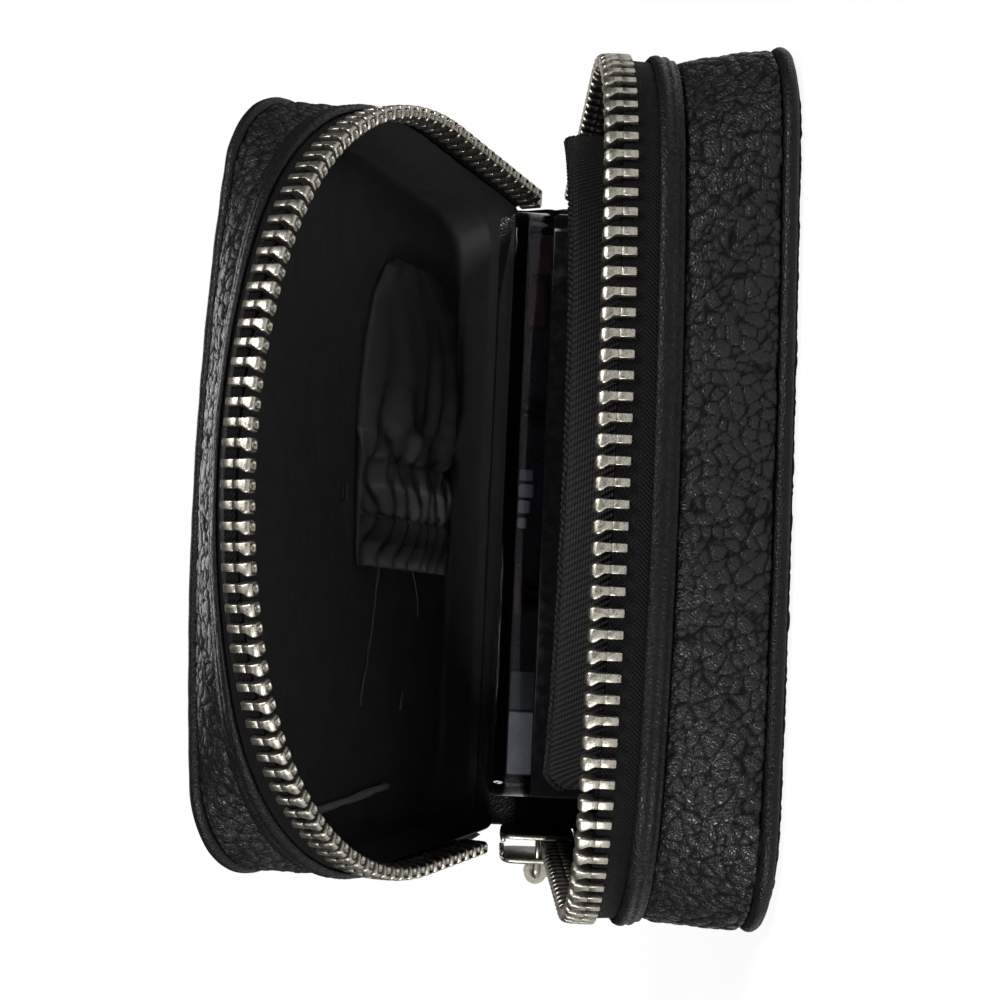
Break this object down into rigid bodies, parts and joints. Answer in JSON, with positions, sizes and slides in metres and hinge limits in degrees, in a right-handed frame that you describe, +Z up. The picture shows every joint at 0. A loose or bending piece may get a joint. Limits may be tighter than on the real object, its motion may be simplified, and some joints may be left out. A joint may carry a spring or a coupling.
{
  "type": "makeup organizer case",
  "caption": "Small zip-round leather case with a hinged lid, metal zip teeth and a covered cosmetics tray in its base.",
  "frame": {"origin": "centre of the flat rest face of the base panel, below the middle of the case", "axes": "+X along the case's length, +Y from the near rim to the hinge, +Z up out of the base"},
  "size_m": [0.1149, 0.0934, 0.0743],
  "materials": {
    "grained_leather": "pebbled grain, low sheen",
    "smooth_binding": "smooth rolled edge, soft sheen",
    "stiff_board": "hidden stiffener",
    "zip_tape": "herringbone woven tape",
    "zip_metal": "bright nickel, slightly warm",
    "lining_cloth": "fine satin cloth",
    "collar_weave": "ribbed woven edge",
    "tray_black": "glossy moulded black",
    "cover_clear": "clear glossy moulding",
    "pan_metal": "thin stamped pan",
    "powder": "pressed powder",
    "pin_steel": "thin wire pin"
  },
  "bodies": {
    "base": {"base_panel": "grained_leather", "base_gusset": "grained_leather", "base_spine": "grained_leather", "base_binding": "smooth_binding", "base_piping": "smooth_binding", "base_board": "stiff_board", "base_tape": "zip_tape", "base_teeth": "zip_metal", "base_stops": "zip_metal", "base_lining": "lining_cloth", "base_collar": "collar_weave", "insert_tray": "tray_black", "insert_divider": "tray_black", "insert_cover": "cover_clear", "insert_pans": "pan_metal", "insert_powder": "powder", "insert_hinge_pin": "pin_steel"},
    "lid": {"lid_panel": "grained_leather", "lid_gusset": "grained_leather", "lid_spine": "grained_leather", "lid_binding": "smooth_binding", "lid_piping": "smooth_binding", "lid_board": "stiff_board", "lid_tape": "zip_tape", "lid_teeth": "zip_metal", "lid_stops": "zip_metal", "lid_lining": "lining_cloth", "lid_pocket": "lining_cloth", "lid_pocket_ruffle": "lining_cloth", "lid_pocket_elastic": "lining_cloth"},
    "slider": {"slider_body": "zip_metal"},
    "pull": {"pull_tab": "zip_metal"}
  },
  "joints": [
    {"name": "lid_hinge", "type": "hinge", "parent": "base", "child": "lid", "pos_m": [0, 0.042, 0.0245], "axis": [-1, 0, 0], "range_deg": [-28, 150]},
    {"name": "slider_travel", "type": "slide", "parent": "base", "child": "slider", "axis": [-0.0872, -0.9962, 0], "range_m": [0, 0.019]},
    {"name": "pull_swing", "type": "hinge", "parent": "slider", "child": "pull", "pos_m": [-0.0561, 0.03337, 0.0245], "axis": [0.0872, 0.9962, 0], "range_deg": [0, 170]}
  ]
}
